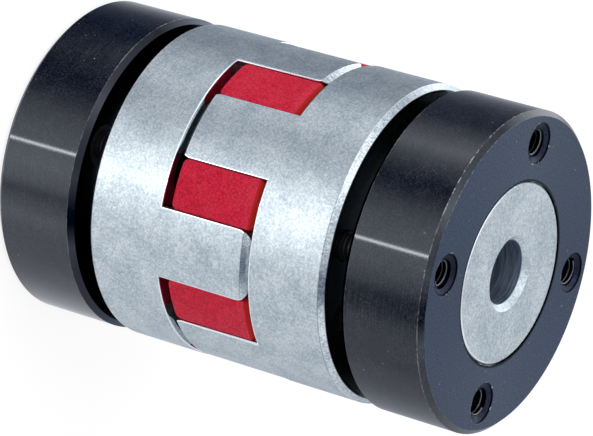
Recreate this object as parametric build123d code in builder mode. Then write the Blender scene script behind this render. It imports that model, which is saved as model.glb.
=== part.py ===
from build123d import *
from math import radians, sin, sqrt, tan
import os

# A flexible jaw coupling for joining two shafts end to end. Two aluminium
# hubs face each other with their jaws interleaved, and a soft spider with
# eight arms fills the spaces between the jaws. Each hub has a conical nose
# that a steel clamping ring squeezes onto the shaft when its four screws
# are tightened. Lengths are millimetres and angles are degrees. The axis
# is Z, and the coupling stands on its rear end at Z = 0. Threads are left
# as plain holes and shanks of the thread's diameter.

# Both halves, each measured from its own end towards the middle
outside_d = 55.0
ring_length = 15.7
ring_gap = 3.3              # ring to flange
flange_length = 14.5        # ring side to jaw side
flange_spacing = 18.0       # between the flanges of the two hubs
rim_chamfer = 0.9           # turned rims of flanges and rings
fit_clearance = 0.02        # radial, between curved faces that touch

# Hub
jaw_count = 4
jaw_tip_gap = 0.45          # jaw tip to the other hub's flange
jaw_tip_fillet = 2.2        # corners between a jaw's tip and its sides
jaw_tip_flat = 0.2          # least width left between those two fillets
jaw_tip_chamfer = 1.2       # turned round the outside of the tips
edge_break = 0.28           # outer edges of jaws and pockets
bore_d = 11.0
bore_chamfer = 1.0
nose_recess = 0.12          # end of the nose below the ring's face
nose_relief_length = 1.0    # stepped end of the nose
nose_relief_depth = 0.28
nose_chamfer = 0.2

# Clamping ring
cone_angle = 5.0            # half angle of the nose and the ring's bore
cone_wall = 2.48            # least metal between the cone and a tapped hole
lead_in = 0.4               # where the ring slides onto the nose
mouth_d = 7.2               # flat countersinks of the tapped holes
mouth_depth = 0.65

# Clamping screws
thread_d = 5.0
screw_length = 20.0         # under the head
head_d = 8.5
head_height = 5.0
point_chamfer = 0.6
key_width = 4.0             # hexagon socket, across its flats
key_depth = 2.5
head_sink = 0.3             # head below the flange's face
head_clearance = 0.25       # radial, round the head
shank_clearance = 0.25      # radial, through the flange
seat_wall = 1.0             # least metal outside a screw's seat
screw_offset = 16.2         # from the middle of a pocket to its screw

# Spider
arm_width = 8.6
rear_arm_gap = 1.6          # ends of the arms to the rear flange
front_arm_gap = 0.5
arm_inset = 0.3             # arms end this far inside the hubs' outside
arm_fillet = 1.0
arm_chamfer = 0.8           # outer edges of the front ends
arm_play = 0.1              # arm to jaw, on each side
web_hole_d = 27.0
web_wall = 3.8              # ring that joins the arms
web_play = 0.3              # ring to the insides of the jaws

# Heights above the end of a half, and the radii, that follow from these
outside_r = outside_d / 2
bore_r = bore_d / 2
thread_r = thread_d / 2
flange_back = ring_length + ring_gap
flange_face = flange_back + flange_length
total_length = 2 * flange_face + flange_spacing
jaw_tip = flange_face + flange_spacing - jaw_tip_gap
head_r = head_d / 2
seat_r = head_r + head_clearance
seat_height = flange_face - head_sink - head_height
pitch_r = outside_r - seat_wall - seat_r
cone_slope = tan(radians(cone_angle))
ring_mouth_r = pitch_r - thread_r - cone_wall - ring_length * cone_slope
web_r = web_hole_d / 2 + web_wall
jaw_inner_r = web_r + web_play
spider_rear = flange_face + rear_arm_gap
spider_front = flange_face + flange_spacing - front_arm_gap
arm_r = outside_r - arm_inset
arm_count = 2 * jaw_count

# Angles in a half, counted from the middle of its first jaw
half_pocket = 180 / jaw_count
screw_angle = half_pocket + screw_offset
jack_angle = half_pocket - screw_offset
half_arm_pitch = 180 / arm_count

# A jaw is narrowest where it meets the spider's ring. Its two fillets share
# that width, so they can be no larger than half of it.
half_arm_space = arm_width / 2 + arm_play
jaw_side_start = half_arm_space / tan(radians(half_arm_pitch))
jaw_side_end = sqrt(jaw_inner_r**2 - half_arm_space**2)
jaw_inner_width = 2 * (jaw_side_end - jaw_side_start) * sin(radians(half_arm_pitch))
tip_fillet_r = min(jaw_tip_fillet, (jaw_inner_width - jaw_tip_flat) / 2)

# Each half is drawn on the plane of its own end, with its first jaw along
# X and its height running in towards the middle. The front half is turned
# over and its jaws meet the middles of the rear half's pockets.
rear_end = Plane.XY
front_end = Plane(
    origin=(0, 0, total_length),
    x_dir=Vector(1, 0, 0).rotate(Axis.Z, half_pocket),
    z_dir=(0, 0, -1),
)


def axis_of(end):
    """Axis of the coupling, running in from this end."""
    return Axis(end.origin, end.z_dir)


def section_of(end):
    """Plane through the axis, with radii along X and heights along Y."""
    return Plane(origin=end.origin, x_dir=end.x_dir, z_dir=-end.y_dir)


def cone_r(height):
    """Radius of the ring's conical bore at a height above its end."""
    return ring_mouth_r + height * cone_slope


def rim_cut(radius, height, depth):
    """Corners of the section that a chamfer takes off an upper rim."""
    return [
        (radius + depth, height - 2 * depth),
        (radius + depth, height + depth),
        (radius - 2 * depth, height + depth),
    ]


def clamping_hub(end):
    """Flange with a conical nose, a bore and four jaws."""
    nose_step = nose_recess + nose_relief_length
    nose_end_r = cone_r(nose_step) - nose_relief_depth
    with BuildPart() as hub:
        with BuildSketch(section_of(end)):
            with BuildLine():
                Polyline(
                    (bore_r + bore_chamfer, nose_recess),
                    (nose_end_r - nose_chamfer, nose_recess),
                    (nose_end_r, nose_recess + nose_chamfer),
                    (nose_end_r, nose_step),
                    (cone_r(nose_step) - fit_clearance, nose_step),
                    (cone_r(flange_back) - fit_clearance, flange_back),
                    (outside_r - rim_chamfer, flange_back),
                    (outside_r, flange_back + rim_chamfer),
                    (outside_r, jaw_tip),
                    (jaw_inner_r, jaw_tip),
                    (jaw_inner_r, flange_face),
                    (bore_r, flange_face),
                    (bore_r, nose_recess + bore_chamfer),
                    close=True,
                )
            make_face()
        revolve(axis=axis_of(end))

        # The pockets are milled away, and what is left between two of them
        # is the wedge that fits between two neighbouring arms
        with BuildSketch(end.offset(flange_face)):
            Circle(outside_d)
            apex = half_arm_space / sin(radians(half_arm_pitch))
            spread = outside_d * tan(radians(half_arm_pitch))
            with PolarLocations(0, jaw_count):
                Polygon(
                    (apex, 0),
                    (apex + outside_d, -spread),
                    (apex + outside_d, spread),
                    align=None,
                    mode=Mode.SUBTRACT,
                )
        extrude(amount=jaw_tip - flange_face, mode=Mode.SUBTRACT)

        flats = hub.faces().filter_by(GeomType.PLANE)
        tips = flats.sort_by(axis_of(end))[-jaw_count:]
        fillet(tips.edges().filter_by(GeomType.LINE), tip_fillet_r)
        outside = hub.faces().filter_by(GeomType.CYLINDER).sort_by(SortBy.AREA)[-1]
        flats = hub.faces().filter_by(GeomType.PLANE)
        chamfer(outside.edges() & flats.edges(), edge_break)
        with BuildSketch(section_of(end)):
            with BuildLine():
                Polyline(*rim_cut(outside_r, jaw_tip, jaw_tip_chamfer), close=True)
            make_face()
        revolve(axis=axis_of(end), mode=Mode.SUBTRACT)

        # Screw seats sunk in the pocket floors, and tapped holes beside
        # them for the jacking screws that push the ring off again
        with Locations(end.offset(flange_face)):
            with PolarLocations(pitch_r, jaw_count, start_angle=screw_angle):
                CounterBoreHole(thread_r + shank_clearance, seat_r, head_sink + head_height)
            with PolarLocations(pitch_r, jaw_count, start_angle=jack_angle):
                Hole(thread_r)
    return hub


def clamping_ring(end):
    """Ring with a conical bore and a tapped hole for each screw."""
    with BuildPart() as ring:
        with BuildSketch(section_of(end)):
            with BuildLine():
                Polyline(
                    (ring_mouth_r, 0),
                    (outside_r - rim_chamfer, 0),
                    (outside_r, rim_chamfer),
                    (outside_r, ring_length - rim_chamfer),
                    (outside_r - rim_chamfer, ring_length),
                    (cone_r(ring_length) + lead_in, ring_length),
                    (cone_r(ring_length - lead_in), ring_length - lead_in),
                    close=True,
                )
            make_face()
        revolve(axis=axis_of(end))
        with Locations(end.offset(ring_length)):
            with PolarLocations(pitch_r, jaw_count, start_angle=screw_angle):
                Hole(thread_r)
        outer_face = ring.faces().sort_by(axis_of(end))[0]
        mouths = outer_face.edges().sort_by(SortBy.RADIUS)[:jaw_count]
        chamfer(mouths, (mouth_d - thread_d) / 2, mouth_depth, reference=outer_face)
    return ring


def clamping_screw(end, turn):
    """Socket head screw on its seat, reaching out into the ring."""
    seat = end.offset(seat_height)
    place = PolarLocations(pitch_r, 1, start_angle=screw_angle + turn)
    with BuildPart() as screw:
        with BuildSketch(seat):
            with place:
                Circle(head_r)
        extrude(amount=head_height)
        with BuildSketch(seat.offset(head_height)):
            with place:
                RegularPolygon(key_width / 2, 6, major_radius=False)
        extrude(amount=-key_depth, mode=Mode.SUBTRACT)
        with BuildSketch(seat):
            with place:
                Circle(thread_r - fit_clearance)
        extrude(amount=-screw_length)
        chamfer(screw.edges().sort_by(axis_of(end))[0], point_chamfer)
    return screw


# Spider. Each arm has a jaw of the rear hub on one side and a jaw of the
# front hub on the other, and a ring inside the jaws joins them all.
with BuildPart() as spider:
    with BuildSketch(rear_end.offset(spider_rear)):
        with PolarLocations(0, arm_count, start_angle=half_arm_pitch):
            Rectangle(outside_d, arm_width, align=(Align.MIN, Align.CENTER))
        Circle(arm_r, mode=Mode.INTERSECT)
        Circle(web_r)
        Circle(web_hole_d / 2, mode=Mode.SUBTRACT)
    extrude(amount=spider_front - spider_rear)
    ends = spider.faces().filter_by(Axis.Z)
    fillet(ends.edges().filter_by(GeomType.LINE), arm_fillet)
    with BuildSketch(section_of(rear_end)):
        with BuildLine():
            Polyline(*rim_cut(arm_r, spider_front, arm_chamfer), close=True)
        make_face()
    revolve(axis=axis_of(rear_end), mode=Mode.SUBTRACT)

front_hub = clamping_hub(front_end)
rear_hub = clamping_hub(rear_end)
front_clamp_ring = clamping_ring(front_end)
rear_clamp_ring = clamping_ring(rear_end)

pieces = {
    "front_hub": front_hub,
    "rear_hub": rear_hub,
    "front_clamp_ring": front_clamp_ring,
    "rear_clamp_ring": rear_clamp_ring,
    "spider": spider,
}
for number in range(jaw_count):
    turn = number * 360 / jaw_count
    pieces[f"front_clamp_screw_{number + 1}"] = clamping_screw(front_end, turn)
    pieces[f"rear_clamp_screw_{number + 1}"] = clamping_screw(rear_end, turn)

os.makedirs("parts", exist_ok=True)
for name, piece in pieces.items():
    piece.part.label = name
    export_step(piece.part, f"parts/{name}.step")
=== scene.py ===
import bpy
from math import cos, hypot, pi, radians, sin, tan
from mathutils import Matrix, Quaternion, Vector


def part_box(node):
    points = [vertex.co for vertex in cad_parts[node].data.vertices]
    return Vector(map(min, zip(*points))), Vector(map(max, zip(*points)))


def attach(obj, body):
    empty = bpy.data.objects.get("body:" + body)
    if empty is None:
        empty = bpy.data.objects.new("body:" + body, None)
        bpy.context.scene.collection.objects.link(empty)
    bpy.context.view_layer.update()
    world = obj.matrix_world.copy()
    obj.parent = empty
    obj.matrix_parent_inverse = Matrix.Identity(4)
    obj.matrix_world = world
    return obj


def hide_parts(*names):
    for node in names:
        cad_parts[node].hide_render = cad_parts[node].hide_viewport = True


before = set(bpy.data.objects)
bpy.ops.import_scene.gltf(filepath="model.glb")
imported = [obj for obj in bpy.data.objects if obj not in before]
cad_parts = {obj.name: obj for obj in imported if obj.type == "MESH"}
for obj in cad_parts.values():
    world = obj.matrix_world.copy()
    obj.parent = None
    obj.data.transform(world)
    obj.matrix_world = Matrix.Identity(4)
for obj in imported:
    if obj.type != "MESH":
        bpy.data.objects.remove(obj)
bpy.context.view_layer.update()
bpy.ops.object.select_all(action="DESELECT")
mm = 0.001

# The camera looks down on the coupling, which stands on its rear end. It is
# rolled on its line of sight until the axis runs from upper left to lower
# right, as in the photograph.
view_azimuth = radians(65.81)
view_elevation = radians(29.985)
view_roll = radians(106.115)
view_distance = 655.07 * mm
view_aim = Vector((-0.96, 0.14, 42.96)) * mm
bpy.ops.object.camera_add()
camera = bpy.context.object
camera.name = "camera"
camera.data.lens = 234.59
camera.data.sensor_width = 36
camera.data.clip_start = 0.01
sight = Vector((
    cos(view_elevation) * cos(view_azimuth),
    cos(view_elevation) * sin(view_azimuth),
    sin(view_elevation),
))
camera.location = view_aim + sight * view_distance
level = (-sight).to_track_quat("-Z", "Y")
camera.rotation_mode = "QUATERNION"
camera.rotation_quaternion = level @ Quaternion((0, 0, 1), view_roll)
bpy.context.scene.camera = camera

# Hubs, turned from aluminium bar and milled between the jaws, then tumbled.
# One is modelled where the rear one stands and a copy of it is turned over
# for the front. The clamping ring slides onto its conical nose.
outside_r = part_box("rear_hub")[1].x
total_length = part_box("front_clamp_ring")[1].z
middle = total_length / 2
ring_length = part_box("rear_clamp_ring")[1].z
jaw_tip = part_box("rear_hub")[1].z
nose_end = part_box("rear_hub")[0].z
flange_back = 19.0 * mm
flange_face = 33.5 * mm
rim_chamfer = 0.9 * mm
bore_r = 5.5 * mm
bore_chamfer = 1.0 * mm
cone_mouth_r = 15.646 * mm  # the clamping ring's bore at its outer face
cone_slope = tan(radians(5))
nose_relief_length = 1.0 * mm
nose_relief_depth = 0.28 * mm
nose_chamfer = 0.2 * mm
cone_play = 0.02 * mm
jaw_inner_r = 17.6 * mm
jaw_tip_round = 2.2 * mm
jaw_tip_chamfer = 1.2 * mm
edge_break = 0.28 * mm
arm_half_width = 4.4 * mm
head_seat_r = 4.5 * mm
head_seat_depth = 5.3 * mm
shank_hole_r = 2.75 * mm
jack_hole_r = 2.5 * mm
pitch_r = 22.0 * mm  # circle of the screws and of the jacking holes
screw_angle = radians(61.2)
jack_angle = radians(28.8)
past = 1.0 * mm  # how far a cutter reaches past what it cuts


def only(piece):
    """Make one piece the selected and active one."""
    bpy.ops.object.select_all(action="DESELECT")
    piece.select_set(True)
    bpy.context.view_layer.objects.active = piece


def editing(piece):
    """Go into edit mode on one piece, with nothing of it selected."""
    only(piece)
    bpy.ops.object.mode_set(mode="EDIT")
    bpy.ops.mesh.select_mode(type="EDGE")
    bpy.ops.mesh.select_all(action="DESELECT")


def bevel_edges(piece, chosen, offset, segments, only_sharp=False):
    """Bevel the edges of a piece whose two ends pass a test."""
    editing(piece)
    if only_sharp:
        bpy.ops.mesh.edges_select_sharp(sharpness=radians(40))
    bpy.ops.object.mode_set(mode="OBJECT")
    for edge in piece.data.edges:
        ends = [piece.data.vertices[end].co for end in edge.vertices]
        edge.select = (edge.select or not only_sharp) and chosen(*ends)
    bpy.ops.object.mode_set(mode="EDIT")
    bpy.ops.mesh.bevel(offset=offset, segments=segments)
    bpy.ops.object.mode_set(mode="OBJECT")


def turned(name, profile, steps=120, centre=(0, 0), closed=True):
    """Lathe work: a circle is drawn out along a profile of (radius, height).

    A closed profile comes back to its start. An open one, as of a drill or a
    screw, is filled flat at both ends.
    """
    x, y = centre
    radius, height = profile[0]
    bpy.ops.mesh.primitive_circle_add(
        vertices=steps, radius=radius, location=(x, y, height), rotation=(0, 0, pi / steps)
    )
    piece = bpy.context.object
    piece.name = name
    bpy.ops.object.transform_apply()
    bpy.ops.object.mode_set(mode="EDIT")
    bpy.ops.mesh.select_all(action="SELECT")
    for next_radius, next_height in profile[1:] + profile[:1] * closed:
        step = {"value": (0, 0, next_height - height)}
        bpy.ops.mesh.extrude_region_move(TRANSFORM_OT_translate=step)
        ratio = next_radius / radius
        bpy.ops.transform.resize(value=(ratio, ratio, 1), center_override=(x, y, next_height))
        radius, height = next_radius, next_height
    bpy.ops.mesh.select_all(action="SELECT")
    bpy.ops.mesh.remove_doubles(threshold=0.0005 * mm)
    if not closed:
        bpy.ops.mesh.select_all(action="DESELECT")
        bpy.ops.mesh.select_non_manifold()
        bpy.ops.mesh.edge_face_add()
        bpy.ops.mesh.select_all(action="SELECT")
    bpy.ops.mesh.normals_make_consistent(inside=False)
    bpy.ops.object.mode_set(mode="OBJECT")
    return piece


def combine(piece, tool, operation="DIFFERENCE"):
    """Cut one piece with another, or join them, and use the other up."""
    only(piece)
    bpy.ops.object.modifier_add(type="BOOLEAN")
    change = piece.modifiers[-1]
    change.operation = operation
    change.object = tool
    change.solver = "EXACT"
    bpy.ops.object.modifier_apply(modifier=change.name)
    bpy.data.objects.remove(tool)


def moved_copy(piece, name, move):
    """A copy of a piece with its own mesh, which a matrix puts in its place."""
    copy = piece.copy()
    copy.data = piece.data.copy()
    copy.name = name
    bpy.context.collection.objects.link(copy)
    copy.data.transform(move)
    return copy


def ring_of(piece, count):
    """Copies of a piece round the axis, joined with it into one."""
    turns = [Matrix.Rotation(number * 2 * pi / count, 4, "Z") for number in range(1, count)]
    copies = [moved_copy(piece, piece.name, turn) for turn in turns]
    only(piece)
    for copy in copies:
        copy.select_set(True)
    bpy.ops.object.join()


def finish_surface(piece):
    """Smooth the curved faces and keep the flat ones flat beside them."""
    only(piece)
    bpy.ops.object.shade_smooth_by_angle(angle=radians(28))
    bpy.ops.object.modifier_add(type="WEIGHTED_NORMAL")
    weighting = piece.modifiers[-1]
    weighting.keep_sharp = True
    weighting.weight = 100
    bpy.ops.object.modifier_apply(modifier=weighting.name)


def cone_r(height):
    """Radius of the clamping ring's conical bore at a height above the rear end."""
    return cone_mouth_r + height * cone_slope


nose_step = nose_end + nose_relief_length
nose_end_r = cone_r(nose_step) - nose_relief_depth
rear_hub = turned("rear_hub_body", [
    (bore_r + bore_chamfer, nose_end),
    (nose_end_r - nose_chamfer, nose_end),
    (nose_end_r, nose_end + nose_chamfer),
    (nose_end_r, nose_step),
    (cone_r(nose_step) - cone_play, nose_step),
    (cone_r(flange_back) - cone_play, flange_back),
    (outside_r - rim_chamfer, flange_back),
    (outside_r, flange_back + rim_chamfer),
    (outside_r, jaw_tip - jaw_tip_chamfer),
    (outside_r - jaw_tip_chamfer, jaw_tip),
    (jaw_inner_r, jaw_tip),
    (jaw_inner_r, flange_face),
    (bore_r, flange_face),
    (bore_r, nose_end + bore_chamfer),
])

# What the milling leaves standing is a wedge for each jaw, with the rounded
# corners of its tip. The sides of a wedge lie along the spider's arms.
arm_half_pitch = pi / 8
wedge_apex = arm_half_width / sin(arm_half_pitch)
wedge_start = jaw_inner_r - 0.3 * mm
wedge_end = 40 * mm
bpy.ops.mesh.primitive_cube_add(size=1)
wedges = bpy.context.object
for corner in wedges.data.vertices:
    along = wedge_end if corner.co.x > 0 else wedge_start
    across = (along - wedge_apex) * tan(arm_half_pitch)
    corner.co.x = along
    corner.co.y = across if corner.co.y > 0 else -across
    corner.co.z = jaw_tip if corner.co.z > 0 else flange_face - 2 * past


def beside_wedge_tip(start, end):
    return min(start.z, end.z) > flange_face and abs(start.x - end.x) > mm


bevel_edges(wedges, beside_wedge_tip, jaw_tip_round, 8)
ring_of(wedges, 4)

milled = turned("milled", [
    (jaw_inner_r - 2 * past, flange_face),
    (outside_r + 5 * past, flange_face),
    (outside_r + 5 * past, jaw_tip + past),
    (jaw_inner_r - 2 * past, jaw_tip + past),
], steps=32)
combine(milled, wedges)
combine(rear_hub, milled)


def on_pitch_circle(angle):
    """Where a screw or a hole stands, as x and y."""
    return pitch_r * cos(angle), pitch_r * sin(angle)


seat_floor = flange_face - head_seat_depth
screw_seats = turned("screw_seats", [
    (head_seat_r, flange_face + past),
    (head_seat_r, seat_floor),
    (shank_hole_r, seat_floor),
    (shank_hole_r, flange_back - past),
], steps=48, centre=on_pitch_circle(screw_angle), closed=False)
ring_of(screw_seats, 4)
combine(rear_hub, screw_seats)
jack_holes = turned("jack_holes", [
    (jack_hole_r, flange_face + past),
    (jack_hole_r, flange_back - past),
], steps=48, centre=on_pitch_circle(jack_angle), closed=False)
ring_of(jack_holes, 4)
combine(rear_hub, jack_holes)

# The cutters leave short spare edges on the flat faces
editing(rear_hub)
bpy.ops.mesh.select_all(action="SELECT")
bpy.ops.mesh.remove_doubles(threshold=0.002 * mm)
bpy.ops.mesh.dissolve_limited(angle_limit=radians(0.5))
bpy.ops.object.mode_set(mode="OBJECT")


def round_jaw_or_pocket(start, end):
    """True on the outside between the pocket floors and the jaw tips' chamfers."""
    outside = min(hypot(start.x, start.y), hypot(end.x, end.y)) > outside_r - 0.05 * mm
    lowest = min(start.z, end.z)
    at_tip = lowest > jaw_tip - jaw_tip_chamfer - 0.01 * mm
    return outside and lowest > flange_face - 0.1 * mm and not at_tip


# The bevel leaves its new faces selected. They are marked as the worn ones.
bevel_edges(rear_hub, round_jaw_or_pocket, edge_break, 2, only_sharp=True)
edge_faces = [1.0 * face.select for face in rear_hub.data.polygons]
rear_hub.data.attributes.new("worn", "FLOAT", "FACE").data.foreach_set("value", edge_faces)
finish_surface(rear_hub)


def keep_places(piece):
    """Write every corner's place into the mesh, where turning it over leaves it.

    A finish that reads it looks the same on the front piece as on the rear one.
    """
    places = [value for corner in piece.data.vertices for value in corner.co]
    kept = piece.data.attributes.new("place", "FLOAT_VECTOR", "POINT")
    kept.data.foreach_set("vector", places)


keep_places(rear_hub)


def turned_over(piece, name):
    """A copy of a rear piece where its twin stands at the front."""
    flip = Matrix.Rotation(pi, 4, "X")
    twist = Matrix.Rotation(pi / 4, 4, "Z")
    return moved_copy(piece, name, Matrix.Translation((0, 0, total_length)) @ twist @ flip)


class Wire:
    """A shader socket; arithmetic on it adds Math nodes."""

    def __init__(self, socket):
        self.socket = socket

    def node(self, kind, settings, sockets, output=0):
        """Add any node: its settings first, then the values or links it takes."""
        nodes = self.socket.id_data
        added = nodes.nodes.new(kind)
        for name, value in settings.items():
            if name == "stops":
                while len(added.color_ramp.elements) < len(value):
                    added.color_ramp.elements.new(1.0)
                for stop, (position, colour) in zip(added.color_ramp.elements, value):
                    stop.position = position
                    stop.color = colour
            else:
                setattr(added, name, value)
        for name, value in sockets.items():
            if isinstance(value, Wire):
                nodes.links.new(value.socket, added.inputs[name])
            else:
                added.inputs[name].default_value = value
        return None if output is None else Wire(added.outputs[output])

    def maths(self, operation, first, second=0.0):
        return self.node("ShaderNodeMath", {"operation": operation}, {0: first, 1: second})

    def absolute(self):
        return self.maths("ABSOLUTE", self)

    def larger(self, other):
        return self.maths("MAXIMUM", self, other)

    def __add__(self, other):
        return self.maths("ADD", self, other)

    def __sub__(self, other):
        return self.maths("SUBTRACT", self, other)

    def __rsub__(self, other):
        return self.maths("SUBTRACT", other, self)

    def __mul__(self, other):
        return self.maths("MULTIPLY", self, other)

    def __truediv__(self, other):
        return self.maths("DIVIDE", self, other)

    def __pow__(self, other):
        return self.maths("POWER", self, other)

    __radd__ = __add__
    __rmul__ = __mul__


def new_finish(name):
    """A material with nothing in it yet, and the object coordinates to start from."""
    finish = bpy.data.materials.new(name)
    finish.use_nodes = True
    finish.node_tree.nodes.clear()
    place = finish.node_tree.nodes.new("ShaderNodeTexCoord").outputs["Object"]
    return finish, Wire(place)


def shade(place, **sockets):
    """Close a finish with the shader that takes these values and links."""
    named = {key.replace("_", " "): value for key, value in sockets.items()}
    shader = place.node("ShaderNodeBsdfPrincipled", {}, named)
    place.node("ShaderNodeOutputMaterial", {}, {"Surface": shader}, None)


def noise(place, scale, detail=2.0, roughness=0.5):
    """Soft random spots, with about as many to a metre as scale says."""
    sockets = {"Vector": place, "Scale": scale, "Detail": detail, "Roughness": roughness}
    return place.node("ShaderNodeTexNoise", {}, sockets)


def rise(value, low, high):
    """0 up to low, 1 from high on, and a soft slope between them."""
    settings = {"interpolation_type": "SMOOTHSTEP"}
    return value.node("ShaderNodeMapRange", settings, {0: value, 1: low, 2: high})


def blend(factor, first, second):
    """The first colour where the factor is 0, and the second where it is 1."""
    settings = {"data_type": "RGBA"}
    return factor.node("ShaderNodeMix", settings, {0: factor, 6: first, 7: second}, 2)


def bump(height, depth):
    """A bump as deep as depth, in metres, where the height goes from 0 to 1."""
    return height.node("ShaderNodeBump", {}, {"Height": height, "Distance": depth, "Strength": 1.0})


def axes(place):
    """The x, y and z of a place."""
    x = place.node("ShaderNodeSeparateXYZ", {}, {0: place})
    return x, Wire(x.socket.node.outputs[1]), Wire(x.socket.node.outputs[2])


def from_axis(place):
    """Distance from the coupling's axis."""
    x, y, z = axes(place)
    return (x * x + y * y) ** 0.5


def attribute(place, name, output):
    """What a mesh holds under this name."""
    return place.node("ShaderNodeAttribute", {"attribute_name": name}, {}, output)


def near_circle(radius, height, circle_r, circle_height, reach):
    """1 on a circle round the axis, falling to 0 at reach from it."""
    across = radius - circle_r
    along = height - circle_height
    return 1 - rise((across * across + along * along) ** 0.5, 0.3 * reach, reach)


def near_height(height, level, low=0.02 * mm, high=0.1 * mm):
    """1 on what lies flat at one height, falling to 0 away from it."""
    return 1 - rise((height - level).absolute(), low, high)


def lathe_marks(place, pitch, length):
    """Noise drawn out round the axis, as a turning tool leaves it."""
    x, y, z = axes(place)
    across = (z + from_axis(place)) / pitch
    drawn = place.node("ShaderNodeCombineXYZ", {}, {0: x / length, 1: y / length, 2: across})
    return noise(drawn, 1.0, 3.0, 0.6)


# Grey and cloudy all over from tumbling, with bright specks and dark pits
tumbled, place = new_finish("tumbled_aluminium")
grain = noise(place, 2600, 4.0, 0.7)
cloud = noise(place, 220)
peen = noise(place, 1500)
blotch = noise(place, 1000)
speck = rise(noise(place, 3100, 1.0), 0.65, 0.76)
pit = rise(noise(place, 2700, 1.0), 0.68, 0.79)
bright = rise(grain, 0.34, 0.66) * 0.6 + rise(blotch, 0.3, 0.7) * 0.15 + rise(cloud, 0.3, 0.7) * 0.25
tone = blend(bright, (0.33, 0.40, 0.45, 1), (0.79, 0.83, 0.83, 1))
tone = blend(speck * 0.6, tone, (0.95, 0.96, 0.97, 1))
tone = blend(pit * 0.6, tone, (0.18, 0.22, 0.27, 1))

# Broken edges are bright from wear, and a painted highlight lies along the nose's edge on the side
# towards Y
own_place = attribute(place, "place", "Vector")
radius = from_axis(own_place)
height = axes(own_place)[2]
sideways = axes(place)[1] / outside_r
painted_nose_highlight = near_circle(radius, height, nose_end_r - nose_chamfer / 2, nose_end, 0.45 * mm)
painted_nose_highlight = rise(painted_nose_highlight, 0, 0.5) * rise(sideways, 0.08, 0.25)
worn = attribute(place, "worn", "Fac").larger(painted_nose_highlight)

# Thin painted lines run along the chamfers of the flange's rim and of the jaw tips: painted highlight
# in most places, and painted shade on the rim towards Y and on the tips that point up.
painted_highlight_line = (0.95, 0.96, 0.97, 1)
painted_shade_line = (0.14, 0.17, 0.20, 1)
rim_line = near_circle(radius, height, outside_r, flange_back + rim_chamfer, 0.12 * mm)
towards_y = rise(sideways, 0.66, 0.86)
tone = blend(rim_line * 0.6, tone, blend(towards_y, painted_highlight_line, painted_shade_line))
tip_line = near_circle(radius, height, outside_r, jaw_tip - jaw_tip_chamfer, 0.10 * mm)
pointing_up = rise(axes(place)[2], middle - mm, middle + mm)
tone = blend(tip_line * 0.5, tone, blend(pointing_up, painted_highlight_line, painted_shade_line))

# Painted shade darkens the flange's face towards its ring and the inside of its holes
ring_side = near_height(height, flange_back)
off_pitch = (radius - pitch_r).absolute()
drilled = 1 - rise(off_pitch, head_seat_r + 0.05 * mm, head_seat_r + 0.2 * mm)
drilled = drilled * (1 - rise(height, flange_face - 0.6 * mm, flange_face - 0.2 * mm))
tone = blend((ring_side + drilled - ring_side * drilled) * 0.85, tone, (0.06, 0.07, 0.08, 1))

# The bore keeps the marks of its boring tool, in light and dark rings, and its tone is darker than the
# outside as painted shade inside the bore
marks = lathe_marks(place, 0.45 * mm, 5 * mm)
bored = 1 - rise(radius, bore_r + 0.05 * mm, bore_r + 0.15 * mm)
bore_tone = blend(rise(marks, 0.3, 0.7), (0.22, 0.27, 0.35, 1), (0.62, 0.70, 0.82, 1))
tone = blend(bored * 0.9, tone, bore_tone)

# Pocket floors and chamfers are smoother. Chamfers are streaky, and the one on the flange's rim has
# painted shade on the side away from Y.
milled_floor = near_height(height, flange_face)
milled_floor = milled_floor * (1 - rise(radius, outside_r - 0.35 * mm, outside_r - 0.25 * mm))
chamfered = rise(radius, outside_r - 1.35 * mm, outside_r - 1.2 * mm)
chamfered = chamfered * (1 - rise(radius, outside_r - 0.06 * mm, outside_r - 0.02 * mm))
chamfered = chamfered * (1 - milled_floor)
across = place.node("ShaderNodeVectorMath", {"operation": "MULTIPLY"}, {0: place, 1: (1, 1, 0.15)})
streaks = rise(noise(across, 1600, 2.0, 0.6), 0.45, 0.65)
tone = blend(streaks * chamfered * 0.35, tone, (0.24, 0.28, 0.34, 1))
painted_rim_shade = chamfered * (1 - rise(height, flange_back + mm, flange_back + 2 * mm))
tone = blend(painted_rim_shade * (1 - rise(sideways, 0.0, 0.4)) * 0.45, tone, (0.24, 0.27, 0.31, 1))
smoother = worn * 0.12 + ring_side * 0.2 + milled_floor * 0.28 + chamfered * 0.20
shade(
    place,
    Base_Color=blend(worn, tone, (0.95, 0.97, 0.98, 1)),
    Metallic=1.0,
    Roughness=0.38 + grain * 0.12 - smoother,
    Normal=bump(grain * 0.6 + peen * 0.4 + marks * bored * 3, 0.006 * mm),
)

front_hub = turned_over(rear_hub, "front_hub_body")
for piece, node in ((rear_hub, "rear_hub"), (front_hub, "front_hub")):
    piece.data.materials.append(tumbled)
    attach(piece, "root")
    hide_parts(node)

# Clamping rings, turned from steel and blackened. Four tapped holes take the
# clamping screws, and the conical bore grips the hub's nose.
lead_in = 0.4 * mm
thread_r = 2.5 * mm
thread_pitch = 0.8 * mm
thread_depth = 0.42 * mm
mouth_r = 3.6 * mm
mouth_depth = 0.65 * mm
thread_start = mouth_depth + 0.15 * mm
thread_root = 0.02 * mm  # how far a ridge is sunk in what carries it
rear_ring = turned("rear_ring_body", [
    (cone_r(0), 0),
    (outside_r - rim_chamfer, 0),
    (outside_r, rim_chamfer),
    (outside_r, ring_length - rim_chamfer),
    (outside_r - rim_chamfer, ring_length),
    (cone_r(ring_length) + lead_in, ring_length),
    (cone_r(ring_length - lead_in), ring_length - lead_in),
], steps=180)
drill = turned("drill", [
    (mouth_r + (mouth_r - thread_r), -mouth_depth),
    (thread_r, mouth_depth),
    (thread_r, ring_length + past),
], steps=48, centre=on_pitch_circle(screw_angle), closed=False)
ring_of(drill, 4)
combine(rear_ring, drill)
finish_surface(rear_ring)


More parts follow.
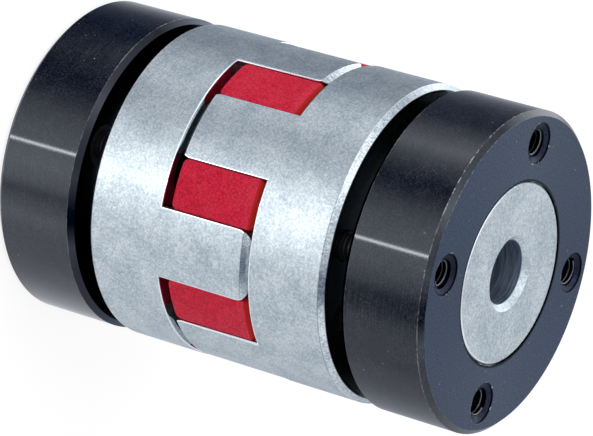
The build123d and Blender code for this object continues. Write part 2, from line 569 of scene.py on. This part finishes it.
def thread_ridge(name, root_r, crest_r, bottom, top, centre):
    """One helical ridge, from the wall or core that carries it to its crest."""
    half_root = 0.36 * thread_pitch
    half_crest = 0.08 * thread_pitch
    bpy.ops.mesh.primitive_plane_add(size=1)
    ridge = bpy.context.object
    ridge.name = name
    for corner in ridge.data.vertices:
        side = 1 if corner.co.y > 0 else -1
        if corner.co.x > 0:
            corner.co = (crest_r, 0, side * half_crest)
        else:
            corner.co = (root_r, 0, side * half_root)
    only(ridge)
    bpy.ops.object.modifier_add(type="SCREW")
    sweep = ridge.modifiers[-1]
    sweep.steps = sweep.render_steps = 36
    sweep.screw_offset = thread_pitch
    sweep.iterations = int((top - bottom) / thread_pitch)
    bpy.ops.object.modifier_apply(modifier=sweep.name)
    ridge.data.transform(Matrix.Translation((*centre, bottom)))
    bpy.ops.object.mode_set(mode="EDIT")
    bpy.ops.mesh.select_all(action="SELECT")
    bpy.ops.mesh.remove_doubles(threshold=0.0005 * mm)
    bpy.ops.mesh.fill_holes(sides=4)
    bpy.ops.mesh.select_all(action="SELECT")
    bpy.ops.mesh.normals_make_consistent(inside=False)
    bpy.ops.object.mode_set(mode="OBJECT")
    return ridge


rear_thread = thread_ridge(
    "rear_ring_threads", thread_r + thread_root, thread_r - thread_depth,
    thread_start, ring_length - 0.5 * mm, on_pitch_circle(screw_angle),
)
ring_of(rear_thread, 4)
finish_surface(rear_thread)
keep_places(rear_ring)
keep_places(rear_thread)

front_ring = turned_over(rear_ring, "front_ring_body")
front_thread = turned_over(rear_thread, "front_ring_threads")

# A bluish black film with fine turning marks, and a bluer end face
blackened, place = new_finish("blackened_steel")
own_place = attribute(place, "place", "Vector")
x, y, depth = axes(own_place)
radius = from_axis(own_place)
film = rise(noise(place, 3000, 3.0, 0.6), 0.34, 0.74)
cloud = rise(noise(place, 350, 4.0, 0.6), 0.35, 0.65)
marks = lathe_marks(place, 0.16 * mm, 8 * mm)
tone = blend(film * (0.5 + cloud * 0.5), (0.000, 0.000, 0.004, 1), (0.032, 0.033, 0.050, 1))
end_face = 1 - rise(depth, 0.03 * mm, 0.12 * mm)
tone = blend(end_face, tone, blend(film, (0.000, 0.002, 0.026, 1), (0.010, 0.050, 0.115, 1)))

# The tapped holes: how far a place lies from the middle of the nearest one
round_axis = place.maths("ARCTAN2", y, x) - screw_angle
from_hole = place.node("ShaderNodeMath", {"operation": "WRAP"}, {0: round_axis, 1: pi / 4, 2: -pi / 4})
aside = radius * place.maths("SINE", from_hole)
outward = radius * place.maths("COSINE", from_hole) - pitch_r
to_hole = (aside * aside + outward * outward) ** 0.5

# Countersinks and holes are dark metal. Painted shade darkens them round the rims of the countersinks
# and down in the holes, and a painted highlight lights the first crests of a thread.
tapped = 1 - rise(to_hole, mouth_r - 0.1 * mm, mouth_r)
painted_hole_shade = rise(to_hole, mouth_r - 0.42 * mm, mouth_r - 0.3 * mm)
painted_hole_shade = painted_hole_shade + rise(depth, mouth_depth, thread_start)
crest_r = thread_r - thread_depth
painted_crest_highlight = 1 - rise(to_hole, crest_r + 0.04 * mm, crest_r + 0.14 * mm)
painted_crest_highlight = painted_crest_highlight * (1 - rise(depth, 1.4 * mm, 2.6 * mm))
cut = blend(film, (0.016, 0.017, 0.031, 1), (0.035, 0.039, 0.064, 1))
cut = blend(painted_crest_highlight, blend(painted_hole_shade, cut, (0.001, 0.001, 0.004, 1)), (0.22, 0.23, 0.25, 1))
tone = blend(tapped, tone, cut)

# The side towards the flange is dark metal too, and the edge of the bore is painted black as a painted
# shadow in the gap round the nose
gap_side = rise(depth, ring_length - rim_chamfer, ring_length - rim_chamfer + 0.05 * mm)
tone = blend(gap_side, tone, (0.030, 0.032, 0.041, 1))
painted_bore_shadow = rise(near_circle(radius, depth, cone_r(0), 0, 0.45 * mm), 0, 0.5)
tone = blend(painted_bore_shadow, tone, (0.001, 0.001, 0.003, 1))
dark_metal = tapped.larger(gap_side).larger(painted_bore_shadow)

# Outer edges are rubbed through in places, with a painted highlight that makes them brightest on one
# side, and the mouths of the holes are chipped
rubbed = rise(noise(place, 800, 3.0, 0.65), 0.46, 0.60)
painted_highlight_side = rise((x * 0.97 + y * 0.24) / radius, 0.90, 0.98)
chipped = rise(noise(place, 900, 1.0), 0.60, 0.68)
outer_edge = near_circle(radius, depth, outside_r, rim_chamfer, 0.14 * mm)
face_edge = near_circle(radius, depth, outside_r - rim_chamfer, 0, 0.10 * mm)
gap_edge = near_circle(radius, depth, outside_r, ring_length - rim_chamfer, 0.12 * mm)
mouth_edge = near_circle(to_hole, depth, mouth_r, 0, 0.16 * mm)
worn = (outer_edge + face_edge * 0.5 + gap_edge * 0.6) * (0.08 + rubbed * (0.3 + painted_highlight_side * 0.7))
worn = worn + mouth_edge * chipped
tone = blend(worn, tone, (0.42, 0.42, 0.44, 1))
dust = rise(noise(place, 1900, 1.0, 0.4), 0.78, 0.82)
shade(
    place,
    Base_Color=blend(dust, tone, (0.25, 0.26, 0.28, 1)),
    Metallic=worn.larger(dark_metal),
    Roughness=0.05 + film * 0.02 + marks * 0.04 + end_face * 0.17 + tapped * 0.35,
    Specular_IOR_Level=0.56,
    Specular_Tint=(0.85, 0.93, 1.0, 1),
    Anisotropic=0.9,
    Anisotropic_Rotation=0.25,
    Normal=bump(marks * (1 - end_face) * 0.8 + film * 0.012, 0.012 * mm),
)
for piece in (rear_ring, front_ring, rear_thread, front_thread):
    piece.data.materials.append(blackened)
    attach(piece, "root")
for piece, node in ((rear_ring, "rear_clamp_ring"), (front_ring, "front_clamp_ring")):
    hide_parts(node)

# Clamping screws, black socket heads sunk in the pocket floors. Their
# threads show in the gap between flange and ring.
head_r = 4.25 * mm
head_height = 5.0 * mm
head_sink = 0.3 * mm
head_rim = 0.5 * mm
seat_rim = 0.15 * mm
screw_length = 20.0 * mm
point_chamfer = 0.6 * mm
key_width = 4.0 * mm
key_depth = 2.5 * mm
core_r = 2.05 * mm
thread_play = 0.02 * mm
seat_height = flange_face - head_sink - head_height
point_height = seat_height - screw_length
screw_place = on_pitch_circle(screw_angle)
screw = turned("rear_screw_1", [
    (core_r - point_chamfer, point_height),
    (core_r, point_height + point_chamfer),
    (core_r, seat_height),
    (head_r - seat_rim, seat_height),
    (head_r, seat_height + seat_rim),
    (head_r, seat_height + head_height - head_rim),
    (head_r - head_rim, seat_height + head_height),
], steps=64, centre=screw_place, closed=False)
bpy.ops.mesh.primitive_cylinder_add(
    vertices=6, radius=key_width / 2 / cos(pi / 6), depth=2 * key_depth,
    location=(*screw_place, seat_height + head_height),
)
combine(screw, bpy.context.object)
screw_thread = thread_ridge(
    "screw_thread", core_r - thread_root, thread_r - thread_play,
    point_height + point_chamfer + 0.1 * mm, seat_height - 0.6 * mm, screw_place,
)
combine(screw, screw_thread, "UNION")
finish_surface(screw)

black_oxide, place = new_finish("black_oxide")
film = noise(place, 1400)
shade(
    place,
    Base_Color=blend(film, (0.004, 0.004, 0.005, 1), (0.012, 0.012, 0.014, 1)),
    Roughness=0.34 + film * 0.15,
    Specular_IOR_Level=0.25,
    Normal=bump(film, 0.002 * mm),
)
screw.data.materials.append(black_oxide)
for number in (1, 2, 3, 4):
    rear_screw = screw
    if number > 1:
        quarters = Matrix.Rotation((number - 1) * pi / 2, 4, "Z")
        rear_screw = moved_copy(screw, f"rear_screw_{number}", quarters)
    front_screw = turned_over(rear_screw, f"front_screw_{number}")
    for piece, end in ((rear_screw, "rear"), (front_screw, "front")):
        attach(piece, "root")
        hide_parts(f"{end}_clamp_screw_{number}")

# Spider, one moulding of red polyurethane: eight arms joined by a ring that
# lies inside the jaws. It is pressed in between them and nothing fixes it.
spider_low, spider_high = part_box("spider")[0].z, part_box("spider")[1].z
arm_r = 27.2 * mm
arm_width = 8.6 * mm
arm_round = 1.0 * mm
arm_edge = 0.18 * mm
arm_chamfer = 0.8 * mm
web_r = 17.3 * mm
web_hole_r = 13.5 * mm
web_step = 0.02 * mm  # ring below the arms' faces
bpy.ops.mesh.primitive_cube_add(size=1)
arm = bpy.context.object
arm.name = "spider_body"
for corner in arm.data.vertices:
    corner.co.x = arm_r + 3 * past if corner.co.x > 0 else web_r - 2 * past
    corner.co.y *= arm_width
    corner.co.z = spider_high if corner.co.z > 0 else spider_low


def along_arm(start, end):
    return abs(start.x - end.x) > mm


def round_arm_end(start, end):
    reach = min(hypot(start.x, start.y), hypot(end.x, end.y))
    return reach > arm_r - arm_chamfer - 0.1 * mm


bevel_edges(arm, along_arm, arm_round, 6)
arm_ends = turned("arm_ends", [
    (web_r - 4 * past, spider_low - past),
    (arm_r, spider_low - past),
    (arm_r, spider_high - arm_chamfer),
    (arm_r - arm_chamfer, spider_high),
    (arm_r - arm_chamfer, spider_high + past),
    (web_r - 4 * past, spider_high + past),
], steps=90)
combine(arm, arm_ends, "INTERSECT")
bevel_edges(arm, round_arm_end, arm_edge, 3, only_sharp=True)
arm.data.transform(Matrix.Rotation(arm_half_pitch, 4, "Z"))
ring_of(arm, 8)
web = turned("web", [
    (web_hole_r, spider_low + web_step),
    (web_r, spider_low + web_step),
    (web_r, spider_high - web_step),
    (web_hole_r, spider_high - web_step),
], steps=96)
combine(arm, web, "UNION")
spider = arm
finish_surface(spider)

# Pebbled by its mould. A painted lighter band runs up the arm ends from a faint painted line 1.3 mm
# below the front chamfer.
polyurethane, place = new_finish("red_polyurethane")
pebble = noise(place, 2900, 3.0, 0.65)
cloud = noise(place, 300, 3.0, 0.6)
mottle = rise(pebble, 0.34, 0.66) * 0.75 + cloud * 0.25
tone = blend(mottle, (0.41, 0.001, 0.021, 1), (0.84, 0.020, 0.066, 1))
tone = blend(rise(cloud, 0.42, 0.62) * 0.08, tone, (0.70, 0.10, 0.13, 1))
z = axes(place)[2]
chamfer_start = spider_high - arm_chamfer
light_band_start = chamfer_start - 1.3 * mm
ridge = near_height(z, light_band_start, 0.03 * mm, 0.12 * mm)
painted_light_band = rise(z, light_band_start, light_band_start + 0.1 * mm)
tone = blend(painted_light_band * 0.08 + ridge * 0.12, tone, (0.75, 0.12, 0.14, 1))
front_chamfer = rise(z, chamfer_start - 0.04 * mm, chamfer_start + 0.04 * mm)
tone = blend(front_chamfer * 0.8, tone, (0.50, 0.016, 0.002, 1))
shade(
    place,
    Base_Color=tone,
    Roughness=0.48 + pebble * 0.12,
    Specular_IOR_Level=0.15,
    Normal=bump(pebble, 0.02 * mm),
)
spider.data.materials.append(polyurethane)
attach(spider, "root")
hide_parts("spider")

# Plain studio: a white floor that keeps a soft shadow, under one wide lamp
# that leaves no reflection. What the metal mirrors is a pale room.
bpy.ops.mesh.primitive_plane_add(size=6)
floor = bpy.context.object
floor.name = "floor"
floor.visible_glossy = False
paper, place = new_finish("paper")
seen = place.node("ShaderNodeLightPath", {}, {}, "Is Camera Ray")
matt = place.node("ShaderNodeBsdfDiffuse", {}, {"Color": (0.9, 0.9, 0.9, 1)})
glow = place.node("ShaderNodeEmission", {}, {"Color": (1, 1, 1, 1), "Strength": 1.19})
lit = place.node("ShaderNodeMixShader", {}, {0: 0.25 + seen * 0.45, 1: matt, 2: glow})
place.node("ShaderNodeOutputMaterial", {}, {"Surface": lit}, None)
paper.cycles.emission_sampling = "NONE"
floor.data.materials.append(paper)

lamp_azimuth = radians(15)
lamp_elevation = radians(60)
lamp_distance = 0.9
lamp_way = Vector((
    cos(lamp_elevation) * cos(lamp_azimuth),
    cos(lamp_elevation) * sin(lamp_azimuth),
    sin(lamp_elevation),
))
lamp_place = Vector((0, 0, middle)) + lamp_way * lamp_distance
bpy.ops.object.light_add(type="AREA", location=lamp_place)
lamp = bpy.context.object
lamp.name = "soft_lamp"
lamp.rotation_euler = lamp_way.to_track_quat("Z", "Y").to_euler()
lamp.data.shape = "RECTANGLE"
lamp.data.size = 0.6
lamp.data.size_y = 0.6
lamp.data.energy = 2.5
lamp.visible_glossy = False

# How bright the room is at three heights, as (degrees from X towards Y,
# brightness). One narrow strip at 70 degrees is far brighter than the rest.
floor_sides = [
    (-180, 0.92), (-160, 0.96), (-143, 0.87), (-114, 0.70), (-90, 0.50), (-68, 0.17),
    (-48, 0.06), (-38, 0.03), (-28, 0.04), (-16, 0.05), (-6, 0.04), (4, 0.04), (13, 0.03),
    (23, 0.15), (33, 0.46), (43, 0.88), (54, 1.3), (68.9, 1.8), (69.7, 22), (70.1, 22),
    (70.9, 1.9), (85, 2.2), (97, 1.8), (105, 0.92), (116, 1.5), (125, 1.8), (136, 1.25),
    (152, 1.05), (168, 0.94), (180, 0.92),
]
low_sides = [
    (-180, 0.60), (-160, 0.57), (-133, 0.46), (-98, 0.48), (-78, 0.28), (-58, 0.16),
    (-38, 0.19), (-28, 0.56), (-18, 1.2), (-8, 2.1), (3, 1.2), (13, 0.55), (23, 0.11),
    (33, 0.36), (43, 1.02), (54, 1.48), (68.9, 1.8), (69.7, 22), (70.1, 22), (70.9, 1.8),
    (85, 1.2), (95, 0.76), (105, 0.16), (115, 0.08), (125, 0.52), (136, 0.78), (146, 0.74),
    (156, 0.62), (168, 0.68), (180, 0.60),
]
high_sides = [
    (-180, 0.88), (-160, 0.84), (-114, 0.62), (-100, 0.70), (-88, 2.6), (-75, 2.6),
    (-60, 1.75), (-46, 0.66), (-33, 0.92), (-18, 1.2), (0, 1.4), (22, 2.3), (49, 1.15),
    (78, 0.80), (92, 1.1), (105, 0.62), (118, 0.08), (130, 0.03), (138, 0.50), (146, 1.3),
    (163, 0.86), (180, 0.88),
]
world = bpy.data.worlds.new("room")
bpy.context.scene.world = world
world.use_nodes = True
world.node_tree.nodes.clear()
world.cycles.sampling_method = "NONE"
way = Wire(world.node_tree.nodes.new("ShaderNodeTexCoord").outputs["Generated"])
x, y, z = axes(way)
compass = way.maths("ARCTAN2", y, x) / (2 * pi) + 0.5


def all_round(sides):
    """The brightness of the room in every compass direction, from a list of sides."""
    stops = [((side + 180) / 360, (level, level, level, 1)) for side, level in sides]
    return way.node("ShaderNodeValToRGB", {"stops": stops}, {0: compass})


# Straight down it fades to grey, and all of it has a faint blue cast
above_floor = rise(z, -0.85, -0.62) * 0.7 + 0.3
room = blend(above_floor, (0.25, 0.25, 0.25, 1), all_round(floor_sides))
room = blend(rise(z, -0.54, -0.48), room, all_round(low_sides))
room = blend(rise(z, -0.46, 0.30), room, all_round(high_sides))
cool = {0: room, 1: (-0.035, 0.0, 0.06)}
mirrored = room.node("ShaderNodeVectorMath", {"operation": "ADD"}, cool)

# Only reflections see that room. Other light is even, and the camera sees white.
rays = way.node("ShaderNodeLightPath", {}, {}, "Is Camera Ray")
glossy = Wire(rays.socket.node.outputs["Is Glossy Ray"])
backdrop = blend(rays, blend(glossy, (0.6, 0.6, 0.6, 1), mirrored), (1, 1, 1, 1))
sky = way.node("ShaderNodeBackground", {}, {"Color": backdrop, "Strength": 1.0})
way.node("ShaderNodeOutputWorld", {}, {"Surface": sky}, None)
bpy.context.scene.view_settings.view_transform = "Standard"
